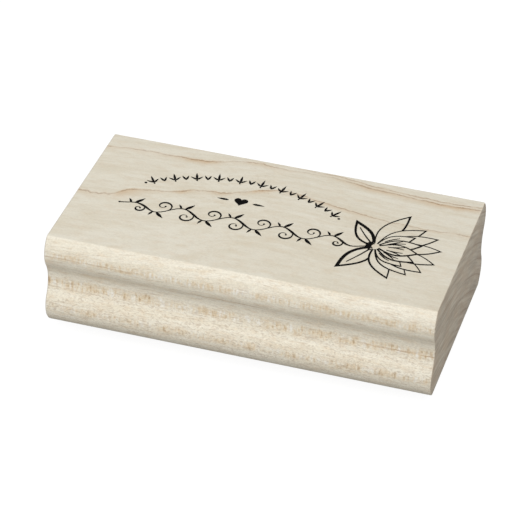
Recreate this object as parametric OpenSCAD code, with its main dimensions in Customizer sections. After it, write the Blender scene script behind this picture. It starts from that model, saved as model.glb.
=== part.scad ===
// Wood-mounted rubber stamp: a moulded maple block with finger grooves along both long sides,
// a picture of the design printed on its top face, and under it a foam cushion that carries an
// engraved rubber die, held by two films of double-sided adhesive.
// Frame: the printing face lies on Z = 0, +X runs along the grain, +Y points to the back.

/* [Block] */
// Length along the grain
block_l = 76.2; // [60:0.1:120]
// Width over the beads of the moulding
block_w = 41.8; // [34:0.1:70]
// Thickness
block_h = 19.5; // [16:0.1:30]

/* [Moulding] */
// Radius of the two rounded beads on each long side
bead_r = 4.9; // [4.4:0.1:6]
// Height of the upper bead's centre below the top face
bead_drop = 3.75; // [2.5:0.05:4.3]
// Height of the lower bead's centre above the underside
bead_rise = 3.95; // [2.5:0.05:4.3]
// Depth of the finger groove between the beads
cove_depth = 1.7; // [1:0.05:2.2]

/* [Cushion and films] */
// Thickness of the foam cushion
foam_t = 1.6; // [1:0.1:4]
// Foam that shows around the rubber
foam_margin = 0.2; // [0:0.1:1.5]
// Thickness of each adhesive film
film_t = 0.08; // [0.05:0.01:0.2]
// How far each film stays back from the edge of the foam
film_setback = 0.2; // [0:0.05:1]

/* [Rubber die] */
// Thickness of the rubber under the relief
die_base_t = 1.0; // [0.6:0.1:2]
// Height of the relief, from the engraved floor to the printing face
relief_h = 1.0; // [0.6:0.05:1.5]
// How much wider the raised lines are than the drawing, on each side
relief_spread = 0.01; // [0.01:0.01:0.05]
// Rubber left around the drawing
die_margin = 0.8; // [0.5:0.1:2]
// Corner radius of the rubber
die_corner = 1.0; // [0.3:0.1:2.5]

/* [Drawing] */
// Bare wood between the left end of the block and the drawing
gap_left = 9.0; // [4:0.1:15]
// Bare wood between the drawing and the right end of the block
gap_right = 4.0; // [3:0.1:15]
// Least bare wood between the drawing and the long edges of the top face
gap_sides = 6.8; // [4:0.1:10]
// Thickness of the printed ink
ink_t = 0.05; // [0.03:0.01:0.1]
// How far the ink spreads beyond the raised line that printed it
ink_spread = 0.03; // [0.01:0.01:0.08]

/* [Hidden] */
$fn = 96;

// ---- Heights of the stack, from the printing face up ----
z_floor = relief_h;                     // engraved floor of the rubber
z_die_top = z_floor + die_base_t;
z_foam = z_die_top + film_t;
z_foam_top = z_foam + foam_t;
z_block = z_foam_top + film_t;          // underside of the wood
z_top = z_block + block_h;              // top face of the wood

// ---- Moulding: two beads and the cove that runs tangent to both ----
bead_half_gap = (block_h - bead_drop - bead_rise) / 2;
groove_z = bead_rise + bead_half_gap;
slope = 2 * atan(cove_depth / bead_half_gap);       // steepest slope, where bead meets cove
cove_bite = 0.02;                                   // the cove cuts this far into the beads
cove_r = max(0.4, bead_half_gap / sin(slope) - bead_r + cove_bite);
neck_w = block_w - 2 * bead_r * (1 - cos(slope));   // width where bead meets cove
top_flat_w = block_w - 2 * (bead_r - sqrt(pow(bead_r, 2) - pow(bead_drop, 2)));

// ---- The drawing, in its own millimetres, as laid out for a 76.2 mm block ----
drawn_x = [-29.2, 34.0];
drawn_y = [-11.9, 12.55];
drawn_l = drawn_x[1] - drawn_x[0];
drawn_w = drawn_y[1] - drawn_y[0];
drawing_scale = min((block_l - gap_left - gap_right) / drawn_l,
                    (top_flat_w - 2 * gap_sides) / drawn_w);
drawing_centre = [(gap_left - gap_right) / 2, 0];
die_l = drawn_l * drawing_scale + 2 * die_margin;
die_w = drawn_w * drawing_scale + 2 * die_margin;

thin = 0.2;       // hairline
line = 0.27;      // ordinary line
bold = 0.5;       // heavy line

// ======================= Strokes and petals =======================

function polar(r, a) = [r * cos(a), r * sin(a)];

function reversed(list) = [for (i = [len(list) - 1 : -1 : 0]) list[i]];

// Unit normal of a path at its point i
function path_normal(path, i) =
    let (a = path[max(i - 1, 0)], b = path[min(i + 1, len(path) - 1)], d = b - a)
    [-d[1], d[0]] / norm(d);

function path_side(path, widths, side) =
    [for (i = [0 : len(path) - 1]) path[i] + side * widths[i] / 2 * path_normal(path, i)];

// A pen stroke along a path, with its own width at each point
module stroke(path, widths)
    polygon(concat(path_side(path, widths, 1), reversed(path_side(path, widths, -1))));

// A petal or leaf from the origin to [long, bend], widest where t^fullness is one half
function petal_edge(long, wide, bend, fullness, side, steps) =
    [for (i = [0 : steps])
        let (t = i / steps)
        [long * t, bend * t * t + side * wide / 2 * sin(180 * pow(t, fullness))]];

module petal(long, wide, bend = 0, fullness = 0.8, steps = 11)
    polygon(concat(petal_edge(long, wide, bend, fullness, 1, steps),
                   reversed(petal_edge(long, wide, bend, fullness, -1, steps))));

// Outline of a petal, drawn heavier on one side as a pen would
module petal_line(long, wide, bend, fullness, pen)
    difference() {
        petal(long, wide, bend, fullness);
        translate([0, pen * 0.22])
            offset(delta = -pen)
                petal(long, wide, bend, fullness);
    }

// ======================= The drawing =======================

// ---- Flower: overlapping petals that open to the right ----
flower_at = [21.4, -2.2];
// Each petal: direction, length, width, bend at the tip, fullness, pen; the last lies in front
petals = [
    [ 78, 12.8, 4.0, -1.6, 1.00, line],
    [-70, 10.8, 3.8,  1.4, 1.00, line],
    [ 54, 11.6, 3.8, -1.8, 1.15, thin],
    [-52, 10.8, 3.8,  1.8, 1.15, thin],
    [ 34, 12.6, 3.8, -1.2, 1.25, thin],
    [-34, 12.0, 3.8,  1.2, 1.25, thin],
    [ 12, 12.8, 3.6, -0.4, 1.30, thin],
    [-13, 12.6, 3.6,  0.4, 1.30, thin],
    [ 44,  8.6, 3.4, -1.0, 1.10, thin],
    [-44,  8.2, 3.4,  1.0, 1.10, thin],
    [ 22,  9.2, 3.6, -0.6, 1.10, line],
    [-23,  9.0, 3.6,  0.6, 1.10, line],
    [  0,  8.6, 3.8,  0.0, 1.05, line]];
// The two bold leaves behind the flower: direction, length, width, bend
leaves = [[134, 9.2, 3.6, -1.3], [246, 10.4, 4.4, -1.2]];
leaf_fullness = 0.85;

module turned(direction) translate(flower_at) rotate(direction) children();

module petal_fan()
    for (i = [0 : len(petals) - 1])
        let (p = petals[i])
        difference() {
            turned(p[0]) petal_line(p[1], p[2], p[3], p[4], p[5]);
            for (j = [i + 1 : 1 : len(petals) - 1])
                let (q = petals[j])
                turned(q[0]) petal(q[1], q[2], q[3], q[4]);
        }

// Short veins that run out from the base of every front petal
module veins()
    for (p = [for (i = [8 : len(petals) - 1]) petals[i]], spread = [-0.5, 0.5])
        turned(p[0])
            stroke([for (t = [0.3, 0.42, 0.54, 0.66])
                        [p[1] * t, p[3] * t * t + spread * p[2] * 0.36 * sin(180 * t)]],
                   [0.1, 0.18, 0.16, 0.08]);

module flower_leaves()
    difference() {
        for (f = leaves)
            turned(f[0]) {
                petal_line(f[1], f[2], f[3], leaf_fullness, bold);
                stroke([for (t = [0.12 : 0.1 : 0.73]) [f[1] * t, f[3] * t * t]],
                       [for (t = [0.12 : 0.1 : 0.73]) 0.3 - 0.22 * t]);
            }
        for (p = petals)
            turned(p[0]) petal(p[1], p[2], p[3], p[4]);
    }

// Cup that the petals spring from
cup_r = 1.35;
module cup() {
    steps = 12;
    for (layer = [0, 1])
        let (r = cup_r * (1 - 0.42 * layer))
        stroke([for (i = [0 : steps]) flower_at + polar(r, 98 + i * 164 / steps)],
               [for (i = [0 : steps]) 0.16 + 0.4 * sin(180 * i / steps)]);
}

module flower() {
    difference() {
        union() {
            petal_fan();
            flower_leaves();
        }
        translate(flower_at) circle(r = cup_r * 0.8, $fn = 36);
    }
    veins();
    cup();
}

// ---- Garland: small sprigs and buds along an arch ----
arch_r = 32.7;
arch_centre = [-6.9, -22.2];
arch_half = 33.4;                  // half the angle that the sprigs cover
arch_count = 19;
arch_dot = 36.1;                   // where the closing dots stand

module on_arch(angle)
    translate(arch_centre + polar(arch_r, 90 - angle)) rotate(-angle) children();

module small_leaf(direction, long, wide)
    rotate(direction) petal(long, wide, 0, 0.85, 8);

module sprig() {
    small_leaf(90, 2.3, 0.42);
    small_leaf(42, 1.5, 0.34);
    small_leaf(138, 1.5, 0.34);
    translate([0, -0.28]) circle(r = 0.15, $fn = 16);
}

module bud() {
    small_leaf(66, 1.5, 0.36);
    small_leaf(114, 1.5, 0.36);
}

heart_at = [-6.9, 4.1];
heart_w = 2.7;
heart_steps = 30;
module heart()
    translate(heart_at) scale(heart_w / 32)
        polygon([for (i = [0 : heart_steps - 1])
            let (a = 360 * i / heart_steps)
            [16 * pow(sin(a), 3), 13 * cos(a) - 5 * cos(2 * a) - 2 * cos(3 * a) - cos(4 * a)]]);

module garland() {
    for (i = [0 : arch_count - 1])
        on_arch(-arch_half + 2 * arch_half * i / (arch_count - 1))
            if (i % 2 == 0)
                sprig();
            else
                bud();
    for (side = [-1, 1])
        on_arch(side * arch_dot) translate([0, 0.4]) circle(r = 0.24, $fn = 20);
    heart();
    for (side = [-1, 1])
        translate(heart_at + [side * (heart_w / 2 + 1.1), -0.1]) rotate(side > 0 ? 0 : 180)
            petal(2.2, 0.5, 0, 0.7, 8);
}

// ---- Vine: a waving stem with curling tendrils and leaves, which ends in the flower ----
vine_x = [-28.9, 20.3];
vine_y = -3.5;
vine_wave = 1.35;                  // how far the stem swings each way
vine_pitch = 9.84;                 // length of one wave; there are five
vine_steps = 75;
tendril_r = 1.75;
tendril_turn = 400;
tendril_steps = 20;

// The stem swings less at both of its ends, and climbs a little on its way
function vine_swing(x) =
    vine_wave * min(1, (x - vine_x[0]) / 8 + 0.15) * min(1, (vine_x[1] - x) / 5 + 0.1);
function vine_phase(x) = 360 * (x - vine_x[0]) / vine_pitch;
function vine_point(x) =
    [x, vine_y + 0.018 * (x - vine_x[0]) + vine_swing(x) * sin(vine_phase(x))];
function vine_normal(x) = path_normal([vine_point(x - 0.05), vine_point(x + 0.05)], 0);

// The stem ends inside the heavy line around the flower's cup
stem_end_r = 1.45;
module vine_stem() {
    xs = [for (i = [0 : vine_steps]) vine_x[0] + (vine_x[1] - vine_x[0]) * i / vine_steps];
    difference() {
        stroke([for (x = xs) vine_point(x)],
               [for (x = xs) 0.16 + 0.3 * pow(max(0, -cos(vine_phase(x))), 2)]);
        translate(flower_at) circle(r = stem_end_r);
    }
}

// A spiral that leaves the stem along it at x and curls to one side
module tendril(x, side, size) {
    centre = vine_point(x) + side * size * vine_normal(x);
    away = atan2(-side * vine_normal(x)[1], -side * vine_normal(x)[0]);
    path = [for (i = [0 : tendril_steps])
        let (t = i / tendril_steps)
        centre + polar(size * pow(1 - 0.78 * t, 1.1), away + side * tendril_turn * t)];
    stroke(path, [for (i = [0 : tendril_steps])
        let (t = i / tendril_steps) 0.06 + 0.3 * sin(180 * min(1, t * 1.4 + 0.02))]);
    translate(path[tendril_steps]) circle(r = 0.17, $fn = 16);
}

module vine_leaf(x, direction, long)
    translate(vine_point(x)) rotate(direction) petal(long, long * 0.27, long * 0.1, 0.8, 10);

module vine() {
    vine_stem();
    for (k = [1 : 9])
        let (x = vine_x[0] + vine_pitch * (k / 2 - 0.02), side = k % 2 == 0 ? 1 : -1) {
            tendril(x, side, tendril_r * (k == 1 || k == 9 ? 0.7 : 1));
            vine_leaf(x - 1.9, side * -48, 2.3);
            vine_leaf(x - 2.6, side * -118, 1.4);
        }
    translate(vine_point(vine_x[0]) + [-0.1, 0]) circle(r = 0.2, $fn = 16);
}

module whole_drawing() {
    flower();
    garland();
    vine();
}

// Places a part of the drawing on the block, and grows each line by the spread asked for.
// Lines and gaps too fine for the engraver's beam are left out.
finest = 0.05;
module placed(spread)
    offset(delta = -finest / 2)
        offset(delta = finest + spread)
            offset(delta = -finest / 2)
                translate(drawing_centre)
                    scale(drawing_scale)
                        translate(-[drawn_x[0] + drawn_x[1], drawn_y[0] + drawn_y[1]] / 2)
                            children();

// ======================= The pieces =======================

// Section of the moulding across the grain, with its underside on y = 0
module moulding_section()
    difference() {
        intersection() {
            union() {
                translate([-neck_w / 2, 0]) square([neck_w, block_h]);
                for (side = [-1, 1], z = [bead_rise, block_h - bead_drop])
                    translate([side * (block_w / 2 - bead_r), z]) circle(r = bead_r);
            }
            translate([-block_w / 2, 0]) square([block_w, block_h]);
        }
        for (side = [-1, 1])
            translate([side * (block_w / 2 - cove_depth + cove_r), groove_z]) circle(r = cove_r);
    }

module wood_block()
    color("wheat")
        translate([-block_l / 2, 0, z_block])
            rotate([90, 0, 90])
                linear_extrude(block_l) moulding_section();

// Ink of one part of the drawing, printed on the top face. A second part, where one is given,
// was printed there already, and the ink stops against it.
module ink()
    translate([0, 0, z_top])
        linear_extrude(ink_t)
            difference() {
                placed(ink_spread) children(0);
                if ($children > 1) placed(ink_spread) children(1);
            }

module index_flower() color("black") ink() flower();

module index_garland() color("black") ink() garland();

module index_vine()
    color("black")
        ink() {
            vine();
            flower();
        }

// A flat sheet with round corners, as the rubber, foam and films are cut
module sheet(length, width, corner, bottom, thick)
    translate([drawing_centre[0], drawing_centre[1], bottom])
        linear_extrude(thick)
            union() {
                square([length - 2 * corner, width], center = true);
                square([length, width - 2 * corner], center = true);
                for (x = [-1, 1], y = [-1, 1])
                    translate([x * (length / 2 - corner), y * (width / 2 - corner)])
                        circle(r = corner);
            }

foam_l = die_l + 2 * foam_margin;
foam_w = die_w + 2 * foam_margin;
foam_corner = die_corner + foam_margin;

// A film of adhesive, a little smaller than the foam so that nothing sticky shows
module film(bottom)
    sheet(foam_l - 2 * film_setback, foam_w - 2 * film_setback, foam_corner - film_setback,
          bottom, film_t);

module block_film() color("lightyellow") film(z_foam_top);

module die_film() color("lightyellow") film(z_die_top);

module foam_cushion()
    color("dimgray") sheet(foam_l, foam_w, foam_corner, z_foam, foam_t);

module rubber_die()
    color("firebrick") {
        sheet(die_l, die_w, die_corner, z_floor, die_base_t);
        linear_extrude(relief_h) placed(relief_spread) whole_drawing();
    }

wood_block();
index_flower();
index_garland();
index_vine();
block_film();
foam_cushion();
die_film();
rubber_die();
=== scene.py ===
"""A wood-mounted rubber stamp: a moulded maple block with the design printed on its top face,
and under it foam and an engraved rubber die, between two adhesive films."""

import math

import bpy
from mathutils import Matrix, Vector


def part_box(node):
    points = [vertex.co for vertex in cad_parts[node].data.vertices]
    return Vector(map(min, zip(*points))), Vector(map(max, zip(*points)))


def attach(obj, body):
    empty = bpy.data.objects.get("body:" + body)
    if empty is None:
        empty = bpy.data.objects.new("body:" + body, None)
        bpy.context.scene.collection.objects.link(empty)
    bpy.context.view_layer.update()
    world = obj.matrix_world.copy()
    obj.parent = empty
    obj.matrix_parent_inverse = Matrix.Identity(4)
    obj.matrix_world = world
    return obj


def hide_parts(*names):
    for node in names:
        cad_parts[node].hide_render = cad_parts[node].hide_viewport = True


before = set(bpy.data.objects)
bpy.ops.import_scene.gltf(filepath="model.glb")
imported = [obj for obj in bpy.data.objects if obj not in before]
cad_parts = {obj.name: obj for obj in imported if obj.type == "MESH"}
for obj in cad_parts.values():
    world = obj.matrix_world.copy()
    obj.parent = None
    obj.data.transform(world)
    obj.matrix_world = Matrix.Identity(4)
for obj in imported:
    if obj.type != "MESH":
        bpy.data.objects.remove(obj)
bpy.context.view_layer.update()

MM = 0.001

# The block, in millimetres. Its three sizes come from the frame.
BLOCK_LOW, BLOCK_HIGH = (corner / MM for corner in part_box("wood_block"))
BLOCK_L, BLOCK_W, BLOCK_H = BLOCK_HIGH - BLOCK_LOW
TOP_Z = BLOCK_HIGH.z
BOTTOM_Z = BLOCK_LOW.z
BEAD_R = 4.9                # radius of the two beads on each long side
BEAD_DROP = 3.75            # upper bead's centre, below the top face
BEAD_RISE = 3.95            # lower bead's centre, above the underside
COVE_DEPTH = 1.7            # depth of the finger groove
END_EASE = 0.32             # sanded round on the sawn ends
LONG_EASE = 0.14            # sanded round on the long edges
RUBBER_BASE = 1.0           # rubber above the engraved floor

# The tree that the block was sawn from: its pith runs along X, below and in front of the block.
PITH_Y = -26.5
PITH_Z = BOTTOM_Z + BLOCK_H / 2 - 74.0


# ---------------------------------------------------------------- nodes

def put(tree, kind, inputs=(), **settings):
    """Adds a node; inputs maps its sockets to values or to other nodes' outputs."""
    made = tree.nodes.new(kind)
    for name, value in settings.items():
        setattr(made, name, value)
    for name, value in dict(inputs).items():
        if isinstance(value, bpy.types.NodeSocket):
            tree.links.new(value, made.inputs[name])
        else:
            made.inputs[name].default_value = value
    return made


def calc(tree, operation, *values):
    """A Math node's result."""
    return put(tree, "ShaderNodeMath", enumerate(values), operation=operation).outputs[0]


def times(tree, *values):
    """The product of several values."""
    product = values[0]
    for value in values[1:]:
        product = calc(tree, "MULTIPLY", product, value)
    return product


def remap(tree, value, low, high, to_low=0.0, to_high=1.0):
    """A value carried smoothly from one range to another, and held at its ends."""
    inputs = {"Value": value, "From Min": low, "From Max": high,
              "To Min": to_low, "To Max": to_high}
    made = put(tree, "ShaderNodeMapRange", inputs, interpolation_type="SMOOTHSTEP")
    return made.outputs["Result"]


def tint(tree, amount, under, over, mode="MIX"):
    """One colour laid over another by an amount from 0 to 1."""
    made = put(tree, "ShaderNodeMix", data_type="RGBA", blend_type=mode)
    for socket, value in zip((made.inputs[0], made.inputs[6], made.inputs[7]),
                             (amount, under, over)):
        if isinstance(value, bpy.types.NodeSocket):
            tree.links.new(value, socket)
        else:
            socket.default_value = value
    return made.outputs[2]


def stretched(tree, place, sizes):
    """A place measured in grains of the given sizes, in millimetres."""
    scale = [1.0 / size for size in sizes]
    inputs = {"Vector": place, "Scale": scale}
    return put(tree, "ShaderNodeMapping", inputs).outputs["Vector"]


def noise(tree, place, sizes, detail=2.0, roughness=0.5, shift=0.0):
    """Noise whose grains have the given sizes in millimetres; shift makes each one its own."""
    vector = stretched(tree, place, sizes)
    inputs = {"Vector": vector, "W": shift, "Scale": 1.0, "Detail": detail,
              "Roughness": roughness}
    return put(tree, "ShaderNodeTexNoise", inputs, noise_dimensions="4D").outputs["Fac"]


def group(name, inputs, outputs):
    """A shader node group with named sockets, its tree, its inputs and its output node."""
    tree = bpy.data.node_groups.new(name, "ShaderNodeTree")
    for socket, (kind, value) in inputs.items():
        made = tree.interface.new_socket(socket, in_out="INPUT", socket_type=kind)
        if value is not None:
            made.default_value = value
    for socket, kind in outputs.items():
        tree.interface.new_socket(socket, in_out="OUTPUT", socket_type=kind)
    return tree, tree.nodes.new("NodeGroupInput").outputs, tree.nodes.new("NodeGroupOutput")


def use(tree, shared, **inputs):
    """Places a shared group in a material."""
    made = tree.nodes.new("ShaderNodeGroup")
    made.node_tree = shared
    for name, value in inputs.items():
        socket = made.inputs[name.replace("_", " ")]
        if isinstance(value, bpy.types.NodeSocket):
            tree.links.new(value, socket)
        else:
            socket.default_value = value
    return made.outputs


FLOAT, VECTOR, COLOUR = "NodeSocketFloat", "NodeSocketVector", "NodeSocketColor"


def close_grain():
    """Maple's close grain, along X: figure, pores, specks, wavy dashes and fibres."""
    tree, given, out = group("Close grain", {"Place": (VECTOR, None)},
                             {"Figure": FLOAT, "Pores": FLOAT, "Specks": FLOAT, "Dashes": FLOAT,
                              "Fibres": FLOAT})
    place = given["Place"]
    broad = noise(tree, place, (24.0, 9.0, 1.1), 3.0, 0.55, 1.0)
    narrow = noise(tree, place, (9.0, 1.6, 0.45), 3.0, 0.6, 2.0)
    figure = calc(tree, "ADD", calc(tree, "MULTIPLY", broad, 0.5),
                  calc(tree, "MULTIPLY", narrow, 0.5))
    pores = remap(tree, noise(tree, place, (2.2, 0.13, 0.13), 1.0, 0.5, 3.0), 0.62, 0.74)
    specks = noise(tree, place, (0.42, 0.24, 0.24), 3.0, 0.7, 14.0)
    wave = times(tree, noise(tree, place, (1.5, 1.2, 1.2), 1.0, 0.5, 20.0), 1.6)
    wave = put(tree, "ShaderNodeCombineXYZ", {"Y": wave, "Z": wave}).outputs[0]
    wavy = put(tree, "ShaderNodeVectorMath", {0: place, 1: wave}, operation="ADD").outputs[0]
    dashes = remap(tree, noise(tree, wavy, (0.85, 0.21, 0.21), 1.0, 0.5, 21.0), 0.52, 0.63)
    fibres = noise(tree, place, (5.0, 0.16, 0.16), 4.0, 0.65, 4.0)
    for name, value in (("Figure", figure), ("Pores", pores), ("Specks", specks),
                        ("Dashes", dashes), ("Fibres", fibres)):
        tree.links.new(value, out.inputs[name])
    return tree


def growth_line():
    """A growth line of the tree: a thin dark core, with a stain that spreads furthest inwards."""
    tree, given, out = group(
        "Growth line",
        {"Distance": (FLOAT, 0.0), "Core": (FLOAT, 0.1), "Outward": (FLOAT, 0.2),
         "Inward": (FLOAT, 0.8)},
        {"Line": FLOAT, "Stain": FLOAT})
    distance = given["Distance"]
    core = remap(tree, calc(tree, "DIVIDE", calc(tree, "ABSOLUTE", distance), given["Core"]),
                 0.0, 1.0, 1.0, 0.0)
    outer = remap(tree, calc(tree, "DIVIDE", distance, given["Outward"]), 0.0, 1.0, 1.0, 0.0)
    inner = remap(tree, calc(tree, "DIVIDE", distance, given["Inward"]), -1.0, 0.0)
    tree.links.new(core, out.inputs["Line"])
    tree.links.new(calc(tree, "MULTIPLY", outer, inner), out.inputs["Stain"])
    return tree


def in_the_tree():
    """The place in the log, in millimetres: along its grain, around its rings, and out from its pith."""
    tree, given, out = group("In the tree", {"Place": (VECTOR, None)},
                             {"Along": FLOAT, "Around": FLOAT, "Out": FLOAT})
    parts = put(tree, "ShaderNodeSeparateXYZ", {0: given["Place"]}).outputs
    away_y = calc(tree, "SUBTRACT", parts["Y"], PITH_Y)
    away_z = calc(tree, "SUBTRACT", parts["Z"], PITH_Z)
    ring = calc(tree, "SQRT", calc(tree, "ADD", calc(tree, "MULTIPLY", away_y, away_y),
                                   calc(tree, "MULTIPLY", away_z, away_z)))
    around = calc(tree, "MULTIPLY", calc(tree, "ARCTAN2", away_y, away_z), ring)
    for name, value in (("Along", parts["X"]), ("Around", around), ("Out", ring)):
        tree.links.new(value, out.inputs[name])
    return tree


TREE = in_the_tree()
GRAIN = close_grain()
LINE = growth_line()


def material(name):
    """A new material with its tree and its Principled surface."""
    made = bpy.data.materials.new(name)
    made.use_nodes = True
    tree = made.node_tree
    tree.nodes.clear()
    surface = tree.nodes.new("ShaderNodeBsdfPrincipled")
    out = tree.nodes.new("ShaderNodeOutputMaterial")
    tree.links.new(surface.outputs[0], out.inputs["Surface"])
    return made, tree, surface


def place_mm(tree):
    """The place on the object, in millimetres."""
    where = put(tree, "ShaderNodeTexCoord").outputs["Object"]
    inputs = {0: where, "Scale": 1.0 / MM}
    return put(tree, "ShaderNodeVectorMath", inputs, operation="SCALE").outputs[0]


def finish_surface(tree, surface, inputs):
    """Sets the surface's sockets, by value or by link."""
    for name, value in inputs.items():
        if isinstance(value, bpy.types.NodeSocket):
            tree.links.new(value, surface.inputs[name])
        else:
            surface.inputs[name].default_value = value


def bump(tree, height, depth_mm, strength=1.0):
    """A surface normal for a height that runs over the given depth."""
    inputs = {"Height": height, "Distance": depth_mm * MM, "Strength": strength}
    return put(tree, "ShaderNodeBump", inputs).outputs["Normal"]


# ---------------------------------------------------------------- maple

# Two growth lines that show on the top face, as (x, y, how strong) in millimetres.
FRONT_LINE = [(-38, -2.4, 0.7), (-31.5, -1.8, 0.6), (-29.6, 0.0, 0.95), (-26.5, 1.6, 0.75),
              (-21.5, 2.5, 0.5), (-18.4, 4.0, 0.9), (-15, 5.0, 0.5), (-11.5, 5.6, 0.85),
              (-8, 6.8, 0.45), (-4.6, 8.6, 1.0), (0, 10.2, 0.5), (7, 9.0, 0.7),
              (16, 7.3, 0.7), (22, 6.4, 0.5), (30, 6.3, 0.5), (38, 6.6, 0.65)]
BACK_LINE = [(-38, 14.5, 0.7), (-30, 15.3, 0.55), (-23, 15.2, 0.7), (-19, 15.3, 1.0),
             (-15.8, 15.8, 0.9), (-12, 17.3, 0.45), (-8, 18.1, 0.7), (-3, 17.6, 0.5),
             (3, 17.9, 0.3), (10, 17.7, 0.55), (17, 16.5, 0.85), (24, 15.9, 0.75),
             (31, 15.5, 1.0), (38, 16.2, 0.55)]
# The rings between and below them swing more gently.
SWING = [(-38, -1.0), (-24, 2.2), (-12, 5.6), (1, 9.4), (14, 7.6), (38, 6.5)]
SWING_RING = 89.5           # the ring that they swing about
# Three thin lines lower down, that come out through the sides: how far out from the pith, the
# stretch of the block that each runs along, and how strong it is.
SIDE_LINES = [(77.75, -9.0, 5.0, 0.9), (73.7, 24.0, 40.0, 1.0), (80.3, -40.0, -21.0, 0.55)]
CURVE_X = (-38.0, 38.0)
RING_PITCH = 3.1            # from one faint ring to the next
STRAND_GAP = 0.42           # from the back growth line to its second strand

# Colours of the wood on its long faces
PALE = (0.80, 0.755, 0.638, 1.0)
WARM = (0.71, 0.642, 0.505, 1.0)
TAN = (0.60, 0.40, 0.21, 1.0)
STAIN = (0.63, 0.455, 0.275, 1.0)
BROWN = (0.30, 0.16, 0.075, 1.0)
FLECK = (0.67, 0.525, 0.335, 1.0)
DARK_FLECK = (0.45, 0.325, 0.195, 1.0)
SILVER = (0.84, 0.82, 0.76, 1.0)
DASH = (0.38, 0.28, 0.19, 1.0)
# Colours of its end grain
END_LIGHT = (0.655, 0.588, 0.47, 1.0)
END_DARK = (0.41, 0.342, 0.256, 1.0)
END_WARM = (0.55, 0.42, 0.29, 1.0)


def curve_of(tree, x, points, low, high):
    """A value between low and high that follows points along x."""
    span = CURVE_X[1] - CURVE_X[0]
    places = [((px - CURVE_X[0]) / span, (value - low) / (high - low)) for px, value in points]
    inputs = {"Value": x, "From Min": CURVE_X[0], "From Max": CURVE_X[1]}
    share = put(tree, "ShaderNodeMapRange", inputs).outputs["Result"]
    drawn = put(tree, "ShaderNodeFloatCurve", {"Value": share})
    line = drawn.mapping.curves[0]
    for place in places[1:-1]:
        line.points.new(*place)
    line.points[0].location = places[0]
    line.points[-1].location = places[-1]
    drawn.mapping.update()
    return calc(tree, "MULTIPLY_ADD", drawn.outputs[0], high - low, low)


def ring_of(tree, x, points):
    """How far out from the pith a growth line lies, that shows on the top face along points."""
    y = curve_of(tree, x, [point[:2] for point in points], -10.0, 20.0)
    away = calc(tree, "SUBTRACT", y, PITH_Y)
    return calc(tree, "SQRT", calc(tree, "MULTIPLY_ADD", away, away, (TOP_Z - PITH_Z) ** 2))


def strength_of(tree, x, points):
    """How strong a growth line is along x."""
    return curve_of(tree, x, [(px, strong) for px, _, strong in points], 0.0, 1.0)


def log_place(tree, place):
    """The place in the log as a vector for noise, with its three parts."""
    at = use(tree, TREE, Place=place)
    inputs = {"X": at["Along"], "Y": at["Around"], "Z": at["Out"]}
    return put(tree, "ShaderNodeCombineXYZ", inputs).outputs[0], at


def around_zero(tree, value, amount):
    """A noise from 0 to 1, moved to lie around zero and scaled."""
    return calc(tree, "MULTIPLY_ADD", value, amount, -amount / 2)


def stretch_of(tree, x, start_x, end_x, ease_in, ease_out, strong=1.0):
    """Rises at the start of a stretch along x, and falls off at its end."""
    rise = remap(tree, x, start_x, start_x + ease_in, 0.0, strong)
    return times(tree, rise, remap(tree, x, end_x - ease_out, end_x, 1.0, 0.0))


class Wood:
    """What every mark in the maple needs to know about a point on the block's surface."""

    def __init__(self, tree):
        self.tree = tree
        self.straight, at = log_place(tree, place_mm(tree))
        self.x, self.around, self.ring = at["Along"], at["Around"], at["Out"]
        normal = put(tree, "ShaderNodeTexCoord").outputs["Normal"]
        self.facing = put(tree, "ShaderNodeSeparateXYZ", {0: normal}).outputs
        to_end = calc(tree, "ABSOLUTE", self.facing["X"])
        self.end_face = remap(tree, to_end, 0.5, 0.9)
        self.long_face = calc(tree, "SUBTRACT", 1.0, self.end_face)
        self.side = times(tree, calc(tree, "ABSOLUTE", self.facing["Y"]), self.long_face)
        wander = self.noise((3.4, 7.0, 7.0), 5.0, 0.68, 5.0)
        self.wander = around_zero(tree, wander, 0.8)

    def noise(self, sizes, detail, roughness, shift):
        """Noise along the grain, around the rings and out from the pith, in millimetres."""
        return noise(self.tree, self.straight, sizes, detail, roughness, shift)


def swung(tree, wood):
    """The ring as it swings near the top face; deeper down the rings run straighter."""
    swing = calc(tree, "SUBTRACT", ring_of(tree, wood.x, SWING), SWING_RING)
    swing = times(tree, swing, remap(tree, wood.ring, 72.0, 88.0, 0.15, 1.0))
    return calc(tree, "SUBTRACT", wood.ring, swing)


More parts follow.
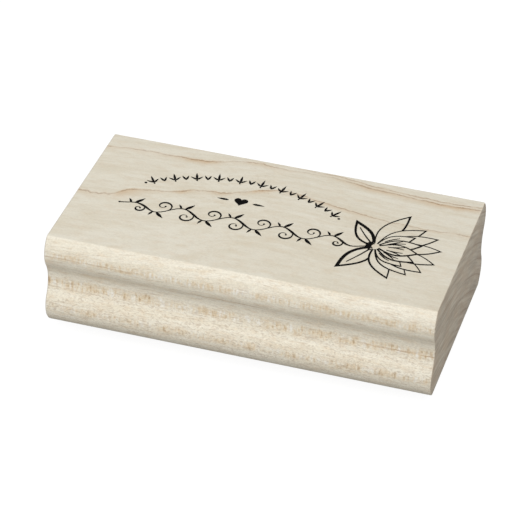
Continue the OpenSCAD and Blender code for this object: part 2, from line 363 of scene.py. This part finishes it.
def growth_lines(tree, wood):
    """The lines and stains of the two growth lines on top and of the thin ones below."""
    ragged = around_zero(tree, wood.noise((0.8, 0.5, 0.5), 3.0, 0.6, 15.0), 0.12)
    wandered = calc(tree, "ADD", calc(tree, "ADD", wood.ring, wood.wander), ragged)
    off_front = calc(tree, "SUBTRACT", wandered, ring_of(tree, wood.x, FRONT_LINE))
    off_back = calc(tree, "SUBTRACT", wandered, ring_of(tree, wood.x, BACK_LINE))
    off_strand = calc(tree, "SUBTRACT", off_back, STRAND_GAP)
    flare = stretch_of(tree, wood.x, -32.0, -21.0, 3.0, 6.0)
    front_reach = calc(tree, "MULTIPLY_ADD", flare, 0.5, 0.6)
    front = use(tree, LINE, Distance=off_front, Core=0.1, Outward=0.22, Inward=front_reach)
    back = use(tree, LINE, Distance=off_back, Core=0.12, Outward=0.3, Inward=0.85)
    strand = use(tree, LINE, Distance=off_strand, Core=0.09, Outward=0.2, Inward=0.4)

    # Each line with how strong it is, and with how strong its stain is
    front_tone = strength_of(tree, wood.x, FRONT_LINE)
    back_tone = strength_of(tree, wood.x, BACK_LINE)
    strand_tone = remap(tree, wood.x, -10.0, 18.0, 0.0, 0.8)
    found = [(front, front_tone, times(tree, front_tone, front_tone)),
             (back, back_tone, times(tree, back_tone, back_tone)),
             (strand, strand_tone, times(tree, strand_tone, 0.6))]
    for out, start_x, end_x, strong in SIDE_LINES:
        off = calc(tree, "SUBTRACT", wandered, out)
        thin = use(tree, LINE, Distance=off, Core=0.1, Outward=0.2, Inward=0.3)
        tone = stretch_of(tree, wood.x, start_x - 2.0, end_x + 2.0, 4.0, 4.0, strong)
        found.append((thin, tone, times(tree, tone, 0.7)))

    lines = stains = 0.0
    for line, tone, stain_tone in found:
        lines = calc(tree, "MAXIMUM", lines, times(tree, line["Line"], tone))
        stains = calc(tree, "MAXIMUM", stains, times(tree, line["Stain"], stain_tone))
    broken = remap(tree, wood.noise((2.2, 40.0, 1.0), 3.0, 0.6, 6.0), 0.36, 0.58, 0.25, 1.0)
    return times(tree, lines, broken), stains


def ray_flecks(tree, wood):
    """Marks of the rays, which point out from the pith and show where the surface runs along them.
    Returns the warm patches, the flecks, the dark flecks and the silvery ones."""
    turn = calc(tree, "DIVIDE", wood.around, wood.ring)
    ray_y = times(tree, calc(tree, "SINE", turn), wood.facing["Y"])
    ray_z = times(tree, calc(tree, "COSINE", turn), wood.facing["Z"])
    across = calc(tree, "ABSOLUTE", calc(tree, "ADD", ray_y, ray_z))
    edge = around_zero(tree, wood.noise((1.3, 3.0, 3.0), 2.0, 0.6, 16.0), 0.22)
    along_rays = remap(tree, calc(tree, "ADD", across, edge), 0.05, 0.22, 1.0, 0.0)
    weaker_low_down = remap(tree, wood.ring, 70.0, 73.0, 0.72, 1.0)
    along_rays = times(tree, along_rays, wood.long_face, weaker_low_down)

    tall = wood.noise((0.55, 3.0, 2.6), 2.0, 0.6, 7.0)
    short = around_zero(tree, wood.noise((0.5, 0.5, 0.5), 2.0, 0.55, 8.0), 0.45)
    patches = around_zero(tree, wood.noise((3.4, 30.0, 4.0), 2.0, 0.6, 9.0), 0.5)
    marks = calc(tree, "ADD", tall, calc(tree, "ADD", short, patches))
    weaker_high_up = remap(tree, wood.ring, 77.0, 80.0, 1.0, 0.5)
    return (times(tree, remap(tree, patches, -0.06, 0.1, 0.04, 0.4), along_rays),
            times(tree, remap(tree, marks, 0.5, 0.63, 0.0, 0.62), along_rays),
            times(tree, remap(tree, marks, 0.62, 0.74), along_rays, weaker_high_up),
            times(tree, remap(tree, marks, 0.46, 0.3, 0.0, 0.7), along_rays))


def side_marks(tree, wood, grain, place):
    """Fine dark hairs along the grain, wavy dashes and warm patches, plainest on the sides."""
    hairs = remap(tree, noise(tree, place, (3.2, 0.17, 0.17), 3.0, 0.6, 10.0), 0.54, 0.7)
    hairs = times(tree, hairs, calc(tree, "MULTIPLY_ADD", wood.side, 0.75, 0.25))
    lower_down = remap(tree, wood.ring, 72.0, 76.0, 1.0, 0.35)
    dashes = times(tree, grain["Dashes"], wood.side, lower_down)
    warmth = remap(tree, wood.noise((2.8, 1.6, 0.9), 3.0, 0.6, 17.0), 0.46, 0.7)
    warmth = times(tree, warmth, calc(tree, "MULTIPLY_ADD", wood.side, 0.55, 0.45))
    return hairs, dashes, warmth


def faint_rings(tree, wood, swung_ring):
    """How near the surface is to one of the faint rings: 0 between two of them, 0.5 on one."""
    count = calc(tree, "DIVIDE", calc(tree, "ADD", swung_ring, wood.wander), RING_PITCH)
    return calc(tree, "ABSOLUTE", calc(tree, "SUBTRACT", calc(tree, "FRACT", count), 0.5))


def end_grain(tree, wood, to_ring):
    """Colour of the sawn ends: bands and thin lines along the rings, fine rays, and pores."""
    bands = wood.noise((8.0, 9.0, 0.7), 5.0, 0.66, 11.0)
    blotches = wood.noise((8.0, 5.0, 2.2), 3.0, 0.55, 18.0)
    rays = wood.noise((8.0, 0.14, 3.0), 2.0, 0.5, 12.0)
    pores = wood.noise((8.0, 0.12, 0.12), 1.0, 0.5, 19.0)
    ring_lines = times(tree, remap(tree, to_ring, 0.44, 0.5, 0.0, 0.5),
                       remap(tree, bands, 0.35, 0.6, 0.2, 1.0))
    colour = tint(tree, remap(tree, bands, 0.32, 0.68), END_LIGHT, END_DARK)
    colour = tint(tree, remap(tree, blotches, 0.42, 0.64, 0.0, 0.45), colour, END_WARM)
    colour = tint(tree, remap(tree, to_ring, 0.32, 0.5, 0.0, 0.3), colour, END_DARK)
    colour = tint(tree, remap(tree, rays, 0.52, 0.72, 0.0, 0.4), colour, END_LIGHT)
    colour = tint(tree, ring_lines, colour, BROWN)
    return tint(tree, remap(tree, pores, 0.6, 0.72, 0.0, 0.3), colour, BROWN)


def plank_tone_and_painted_side_light(tree, wood, specks):
    """Lightness around 1: specks, slow changes along the plank and across its top, and painted
    light that lifts the long sides."""
    speck_depth = calc(tree, "MULTIPLY_ADD", wood.side, 0.4, 0.26)
    speckled = times(tree, calc(tree, "SUBTRACT", specks, 0.5), speck_depth)
    off_side = calc(tree, "SUBTRACT", 1.0, wood.side)
    top_y = times(tree, calc(tree, "SUBTRACT", wood.around, 28.0), off_side)
    tone = calc(tree, "MULTIPLY_ADD", wood.x, -0.00115, 0.99)
    tone = calc(tree, "MULTIPLY_ADD", top_y, 0.0016, tone)
    # painted light: the long sides are lightened to stand in for light falling on them
    tone = calc(tree, "MULTIPLY_ADD", wood.side, 0.025, tone)
    return calc(tree, "ADD", tone, speckled)


def maple():
    """Sanded maple, laid out in the tree's own directions so that all faces agree."""
    made, tree, surface = material("maple")
    wood = Wood(tree)
    swung_ring = swung(tree, wood)
    inputs = {"X": wood.x, "Y": wood.around, "Z": swung_ring}
    place = put(tree, "ShaderNodeCombineXYZ", inputs).outputs[0]
    grain = use(tree, GRAIN, Place=place)
    to_ring = faint_rings(tree, wood, swung_ring)
    lines, stains = growth_lines(tree, wood)
    patches, flecks, dark_flecks, silver = ray_flecks(tree, wood)
    hairs, dashes, warmth = side_marks(tree, wood, grain, place)

    # Each mark is laid over the one before, by its amount, in its colour
    colour = PALE
    for amount, over in (
            (remap(tree, grain["Figure"], 0.4, 0.62, 0.05, 0.75), WARM),
            (remap(tree, to_ring, 0.32, 0.5, 0.0, 0.22), WARM),
            (times(tree, warmth, 0.26), TAN),
            (times(tree, stains, 0.75), STAIN),
            (patches, FLECK),
            (flecks, FLECK),
            (dark_flecks, DARK_FLECK),
            (silver, SILVER),
            (times(tree, hairs, 0.4), BROWN),
            (times(tree, dashes, 0.38), DASH),
            (times(tree, grain["Pores"], 0.2), TAN),
            (times(tree, lines, 0.8), BROWN)):
        colour = tint(tree, amount, colour, over)
    colour = tint(tree, wood.end_face, colour, end_grain(tree, wood, to_ring))
    inputs = {0: colour, "Scale": plank_tone_and_painted_side_light(tree, wood, grain["Specks"])}
    colour = put(tree, "ShaderNodeVectorMath", inputs, operation="SCALE").outputs[0]

    # Fibres and specks stand proud; pores and hairs lie deeper
    height = calc(tree, "SUBTRACT", grain["Fibres"], times(tree, grain["Pores"], 0.8))
    height = calc(tree, "SUBTRACT", height, times(tree, hairs, 0.5))
    on_side = calc(tree, "MULTIPLY_ADD", wood.side, 0.75, 0.25)
    height = calc(tree, "ADD", height, times(tree, grain["Specks"], on_side))
    finish_surface(tree, surface, {
        "Base Color": colour,
        "Roughness": remap(tree, grain["Fibres"], 0.3, 0.7, 0.48, 0.6),
        "Specular IOR Level": 0.5,
        "Normal": bump(tree, height, 0.035, 0.7),
    })
    return made


def printed_ink():
    """Black ink, a little thinner over the pores of the wood."""
    made, tree, surface = material("printed_ink")
    place, _ = log_place(tree, place_mm(tree))
    grain = use(tree, GRAIN, Place=place)
    thin = calc(tree, "ADD", calc(tree, "MULTIPLY", grain["Pores"], 0.5),
                remap(tree, noise(tree, place, (1.2, 0.35, 0.35), 3.0, 0.6, 9.0), 0.55, 0.8))
    colour = tint(tree, calc(tree, "MINIMUM", thin, 1.0),
                  (0.002, 0.0018, 0.0018, 1.0), (0.022, 0.018, 0.014, 1.0))
    finish_surface(tree, surface, {
        "Base Color": colour,
        "Roughness": remap(tree, grain["Fibres"], 0.3, 0.7, 0.5, 0.68),
        "Specular IOR Level": 0.06,
        "Normal": bump(tree, grain["Fibres"], 0.02, 0.5),
    })
    return made


def adhesive():
    """Clear pressure-sensitive film on a pale yellow gum, with a few trapped bubbles."""
    made, tree, surface = material("adhesive_film")
    place = place_mm(tree)
    cells = put(tree, "ShaderNodeTexVoronoi",
                {"Vector": stretched(tree, place, (1.6, 1.6, 1.6)), "Scale": 1.0})
    bubbles = remap(tree, cells.outputs["Distance"], 0.1, 0.2, 1.0, 0.0)
    cloud = noise(tree, place, (5.0, 5.0, 5.0), 3.0, 0.5, 10.0)
    colour = tint(tree, remap(tree, cloud, 0.3, 0.7), (0.74, 0.68, 0.47, 1.0),
                  (0.66, 0.58, 0.36, 1.0))
    colour = tint(tree, calc(tree, "MULTIPLY", bubbles, 0.5), colour, (0.86, 0.83, 0.7, 1.0))
    finish_surface(tree, surface, {
        "Base Color": colour,
        "Roughness": remap(tree, cloud, 0.3, 0.7, 0.16, 0.3),
        "Coat Weight": 0.4,
        "Normal": bump(tree, bubbles, 0.02, 0.5),
    })
    return made


def foam():
    """Dark closed-cell foam, cut so that its small cells lie open at the edges."""
    made, tree, surface = material("cushion_foam")
    place = place_mm(tree)
    cells = put(tree, "ShaderNodeTexVoronoi",
                {"Vector": stretched(tree, place, (0.26, 0.26, 0.26)), "Scale": 1.0,
                 "Detail": 1.0, "Roughness": 0.5})
    open_cells = remap(tree, cells.outputs["Distance"], 0.1, 0.62)
    cloud = noise(tree, place, (2.4, 2.4, 2.4), 3.0, 0.6, 11.0)
    colour = tint(tree, open_cells, (0.012, 0.012, 0.013, 1.0), (0.05, 0.05, 0.053, 1.0))
    colour = tint(tree, remap(tree, cloud, 0.35, 0.7, 0.0, 0.5), colour, (0.075, 0.074, 0.072, 1.0))
    finish_surface(tree, surface, {
        "Base Color": colour,
        "Roughness": remap(tree, open_cells, 0.0, 1.0, 0.9, 0.72),
        "Normal": bump(tree, open_cells, 0.09, 0.9),
    })
    return made


def engraved_rubber():
    """Brick-red stamp gum: fine engraving ridges on the floor, a satin printing face."""
    made, tree, surface = material("engraved_rubber")
    place = place_mm(tree)
    parts = put(tree, "ShaderNodeSeparateXYZ", {0: place}).outputs
    floor_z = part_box("die_film")[0].z / MM - RUBBER_BASE
    off_floor = calc(tree, "ABSOLUTE", calc(tree, "SUBTRACT", parts["Z"], floor_z))
    on_floor = remap(tree, off_floor, 0.02, 0.12, 1.0, 0.0)
    wave = put(tree, "ShaderNodeTexWave",
               {"Vector": place, "Scale": 1.1, "Distortion": 1.2, "Detail": 2.0},
               wave_type="BANDS", bands_direction="Y").outputs["Fac"]
    dust = noise(tree, place, (0.5, 0.5, 0.5), 4.0, 0.65, 12.0)
    cloud = noise(tree, place, (6.0, 6.0, 6.0), 3.0, 0.55, 13.0)
    colour = tint(tree, remap(tree, cloud, 0.3, 0.7), (0.30, 0.055, 0.035, 1.0),
                  (0.36, 0.075, 0.045, 1.0))
    burnt = calc(tree, "MULTIPLY", on_floor, remap(tree, wave, 0.2, 0.8, 0.25, 0.6))
    colour = tint(tree, burnt, colour, (0.17, 0.035, 0.025, 1.0))
    colour = tint(tree, remap(tree, dust, 0.62, 0.8, 0.0, 0.5), colour, (0.5, 0.2, 0.14, 1.0))
    ridges = calc(tree, "ADD", calc(tree, "MULTIPLY", wave, on_floor),
                  calc(tree, "MULTIPLY", dust, 0.6))
    finish_surface(tree, surface, {
        "Base Color": colour,
        "Roughness": remap(tree, calc(tree, "ADD", on_floor, dust), 0.3, 1.6, 0.5, 0.85),
        "Normal": bump(tree, ridges, 0.05, 0.7),
    })
    return made


# ---------------------------------------------------------------- modelling

def start(make, name, **settings):
    """Adds a primitive with nothing else selected, and goes into edit mode on it."""
    bpy.ops.object.select_all(action="DESELECT")
    make(**settings)
    piece = bpy.context.active_object
    piece.name = piece.data.name = name
    bpy.ops.object.mode_set(mode="EDIT")
    return piece


def pick(piece, kind, test):
    """Selects the vertices, edges or faces that pass a test, and nothing else."""
    mode = {"vertices": "VERT", "edges": "EDGE", "polygons": "FACE"}[kind]
    bpy.ops.mesh.select_mode(type=mode)
    bpy.ops.mesh.select_all(action="DESELECT")
    bpy.ops.object.mode_set(mode="OBJECT")
    for item in getattr(piece.data, kind):
        item.select = test(item)
    bpy.ops.object.mode_set(mode="EDIT")


def apply_modifiers(piece):
    """Makes every modifier's result the piece's own mesh."""
    bpy.ops.object.mode_set(mode="OBJECT")
    for modifier in list(piece.modifiers):
        bpy.ops.object.modifier_apply(modifier=modifier.name)


def settle(piece):
    """Puts the object at the origin, with its place in its mesh."""
    bpy.ops.object.select_all(action="DESELECT")
    piece.select_set(True)
    bpy.context.view_layer.objects.active = piece
    bpy.ops.object.transform_apply(location=True, rotation=True, scale=True)


def near(a, b, within=0.004):
    """Whether two lengths in metres are the same, within a few thousandths of a millimetre."""
    return abs(a - b) < within * MM


def maple_block():
    """The moulding: its side is drawn with three sweeps, mirrored, filled and pulled out in X."""
    half = BLOCK_W / 2
    half_gap = (BLOCK_H - BEAD_DROP - BEAD_RISE) / 2
    slope = 2 * math.atan(COVE_DEPTH / half_gap)
    cove_r = half_gap / math.sin(slope) - BEAD_R
    over = math.asin(BEAD_DROP / BEAD_R)        # how far up the upper bead the top face cuts it
    under = math.asin(BEAD_RISE / BEAD_R)
    bead_y = half - BEAD_R
    top_edge_y = bead_y + BEAD_R * math.cos(over)
    left = BLOCK_LOW.x * MM

    piece = start(bpy.ops.mesh.primitive_plane_add, "maple_block", size=MM,
                  location=(left, -top_edge_y * MM, TOP_Z * MM))
    bpy.ops.mesh.merge(type="CENTER")
    sweeps = ((bead_y, TOP_Z - BEAD_DROP, over + slope, 22),
              (half - COVE_DEPTH + cove_r, BOTTOM_Z + BEAD_RISE + half_gap, -2 * slope, 20),
              (bead_y, BOTTOM_Z + BEAD_RISE, slope + under, 22))
    for y, z, angle, steps in sweeps:
        bpy.ops.mesh.spin(steps=steps, angle=angle, center=(left, -y * MM, z * MM),
                          axis=(-1, 0, 0))
    bpy.ops.mesh.select_all(action="SELECT")
    bpy.ops.mesh.duplicate()
    bpy.ops.transform.mirror(constraint_axis=(False, True, False), center_override=(0, 0, 0))
    for level in (TOP_Z, BOTTOM_Z):
        pick(piece, "vertices", lambda v: near(v.co.z + piece.location.z, level * MM))
        bpy.ops.mesh.edge_face_add()
    bpy.ops.mesh.select_all(action="SELECT")
    bpy.ops.mesh.edge_face_add()
    bpy.ops.mesh.extrude_region_move(TRANSFORM_OT_translate={"value": (BLOCK_L * MM, 0, 0)})
    bpy.ops.mesh.select_all(action="SELECT")
    bpy.ops.mesh.normals_make_consistent(inside=False)
    bpy.ops.object.mode_set(mode="OBJECT")
    settle(piece)
    return piece


def ease_edges(piece):
    """Sands the block's edges: a wider round on the sawn ends than along the moulding."""
    points = piece.data.vertices
    ends = (BLOCK_LOW.x * MM, BLOCK_HIGH.x * MM)

    def on_end(edge):
        a, b = (points[i].co for i in edge.vertices)
        return near(a.x, b.x) and any(near(a.x, x) for x in ends)

    def on_long_edge(edge):
        a, b = (points[i].co for i in edge.vertices)
        level = near(a.z, b.z) and (near(a.z, TOP_Z * MM) or near(a.z, BOTTOM_Z * MM))
        return level and not near(a.x, b.x)

    bpy.ops.object.mode_set(mode="EDIT")
    pick(piece, "edges", on_end)
    bpy.ops.transform.edge_bevelweight(value=1.0)
    pick(piece, "edges", on_long_edge)
    bpy.ops.transform.edge_bevelweight(value=LONG_EASE / END_EASE)
    bpy.ops.object.mode_set(mode="OBJECT")
    round_over = piece.modifiers.new("round_over", "BEVEL")
    round_over.limit_method = "WEIGHT"
    round_over.width = END_EASE * MM
    round_over.segments = 3
    bpy.context.view_layer.objects.active = piece
    apply_modifiers(piece)
    bpy.ops.object.select_all(action="DESELECT")
    piece.select_set(True)
    bpy.ops.object.shade_smooth_by_angle(angle=math.radians(38))


def foam_pad():
    """Foam cut with a steel rule: round corners, rolled edges and slightly hollow, ragged sides."""
    low, high = (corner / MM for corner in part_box("foam_cushion"))
    length, width, thick = high - low
    middle = (low + high) / 2
    corner_r = 1.2
    roll = 0.12                 # how far the cutter pulls the edges in
    hollow = 0.06
    piece = start(bpy.ops.mesh.primitive_plane_add, "foam_pad", size=MM,
                  location=(middle.x * MM, middle.y * MM, low.z * MM))
    bpy.ops.transform.resize(value=(length, width, 1),
                             center_override=(middle.x * MM, middle.y * MM, low.z * MM))
    bpy.ops.mesh.select_all(action="SELECT")
    bpy.ops.mesh.bevel(affect="VERTICES", offset=corner_r * MM, segments=8)
    pick(piece, "edges", lambda e: long_run(piece, e, 10.0))
    bpy.ops.mesh.subdivide(number_cuts=40)
    bpy.ops.mesh.select_all(action="SELECT")
    bpy.ops.mesh.delete(type="ONLY_FACE")
    bpy.ops.mesh.select_all(action="SELECT")
    profile = ((0.0, -roll), (0.05, -roll / 3), (0.14, 0.0), (0.5, -hollow), (0.86, 0.0),
               (0.95, -roll / 3), (1.0, -roll))
    for (below, _), (share, _) in zip(profile, profile[1:]):
        rise = (share - below) * thick * MM
        bpy.ops.mesh.extrude_region_move(TRANSFORM_OT_translate={"value": (0, 0, rise)})
    for share, out in profile:
        level = (low.z + share * thick) * MM
        pick(piece, "vertices", lambda v: near(v.co.z + piece.location.z, level))
        bpy.ops.transform.resize(value=(1 + 2 * out / length, 1 + 2 * out / width, 1),
                                 center_override=(middle.x * MM, middle.y * MM, level))
        if share in (0.0, 1.0):
            bpy.ops.mesh.edge_face_add()
        else:
            bpy.ops.transform.vertex_random(offset=0.02 * MM, uniform=0.0, normal=0.0, seed=7)
    bpy.ops.mesh.select_all(action="SELECT")
    bpy.ops.mesh.normals_make_consistent(inside=False)
    bpy.ops.object.mode_set(mode="OBJECT")
    settle(piece)
    bpy.ops.object.shade_smooth_by_angle(angle=math.radians(50))
    return piece


def long_run(piece, edge, least):
    """Whether an edge is longer than least, in millimetres."""
    a, b = (piece.data.vertices[i].co for i in edge.vertices)
    return (a - b).length > least * MM


def wear(piece, finish):
    """Gives a piece, or a CAD node, its one material."""
    piece.data.materials.clear()
    piece.data.materials.append(finish)


# ---------------------------------------------------------------- the pieces

block = maple_block()
ease_edges(block)
wear(block, maple())
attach(block, "root")
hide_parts("wood_block")

ink = printed_ink()
for name in ("index_flower", "index_garland", "index_vine"):
    wear(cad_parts[name], ink)

film = adhesive()
for name in ("block_film", "die_film"):
    wear(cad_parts[name], film)

pad = foam_pad()
wear(pad, foam())
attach(pad, "root")
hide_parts("foam_cushion")

wear(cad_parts["rubber_die"], engraved_rubber())


# ---------------------------------------------------------------- the studio

def camera():
    """Looks down on the block from its front right, from arm's length."""
    azimuth, elevation, roll = (math.radians(a) for a in (15.8, 34.64, 1.86))
    distance = 0.5126
    aside, below = 0.00049, 0.00088        # how far the block's middle is off the view's middle
    back = Vector((math.sin(azimuth) * math.cos(elevation),
                   -math.cos(azimuth) * math.cos(elevation), math.sin(elevation)))
    level = Vector((math.cos(azimuth), math.sin(azimuth), 0))
    rise = back.cross(level)
    right = level * math.cos(roll) + rise * math.sin(roll)
    up = rise * math.cos(roll) - level * math.sin(roll)
    middle = (BLOCK_LOW + BLOCK_HIGH) / 2 * MM
    aim = middle - right * aside - up * below
    made = bpy.data.cameras.new("camera")
    made.sensor_width = 36.0
    made.lens = 180.0
    made.clip_start, made.clip_end = 0.01, 50.0
    seat = bpy.data.objects.new("camera", made)
    seat.matrix_world = Matrix.Translation(aim + back * distance) @ Matrix(
        (right, up, back)).transposed().to_4x4()
    bpy.context.collection.objects.link(seat)
    bpy.context.scene.camera = seat


def softbox(name, size, direction, distance, watts, colour=(1.0, 1.0, 1.0)):
    """A square soft light that points at the block."""
    made = bpy.data.lights.new(name, "AREA")
    made.size = size
    made.energy = watts
    made.color = colour
    seat = bpy.data.objects.new(name, made)
    toward = Vector(direction).normalized()
    seat.location = toward * distance
    seat.rotation_euler = toward.to_track_quat("Z", "Y").to_euler()
    bpy.context.collection.objects.link(seat)


def studio():
    """A pale floor, one large soft light over the front, and a pale room around it."""
    softbox("key", 2.0, (0.14, -0.445, 0.495), 3.0, 70.0)
    world = bpy.data.worlds.new("room")
    world.use_nodes = True
    air = world.node_tree
    direct = put(air, "ShaderNodeLightPath").outputs["Is Camera Ray"]
    walls = air.nodes["Background"]
    walls.inputs["Color"].default_value = (1, 1, 1, 1)
    air.links.new(calc(air, "MULTIPLY_ADD", direct, 0.6, 0.46), walls.inputs["Strength"])
    bpy.context.scene.world = world

    floor = start(bpy.ops.mesh.primitive_plane_add, "floor", size=8.0, location=(0, 0, 0))
    bpy.ops.object.mode_set(mode="OBJECT")
    made, tree, surface = material("floor")
    seen = put(tree, "ShaderNodeLightPath").outputs["Is Camera Ray"]
    shade = tint(tree, seen, (0.42, 0.42, 0.42, 1.0), (0.8, 0.8, 0.8, 1.0))
    finish_surface(tree, surface, {"Base Color": shade, "Roughness": 1.0,
                                   "Specular IOR Level": 0.0})
    glow = put(tree, "ShaderNodeEmission", {"Color": (1, 1, 1, 1), "Strength": 1.14})
    both = put(tree, "ShaderNodeMixShader", {0: calc(tree, "MULTIPLY", seen, 0.8)})
    tree.links.new(surface.outputs[0], both.inputs[1])
    tree.links.new(glow.outputs[0], both.inputs[2])
    out = next(n for n in tree.nodes if n.type == "OUTPUT_MATERIAL")
    tree.links.new(both.outputs[0], out.inputs["Surface"])
    wear(floor, made)


camera()
studio()
bpy.context.scene.view_settings.view_transform = "Standard"
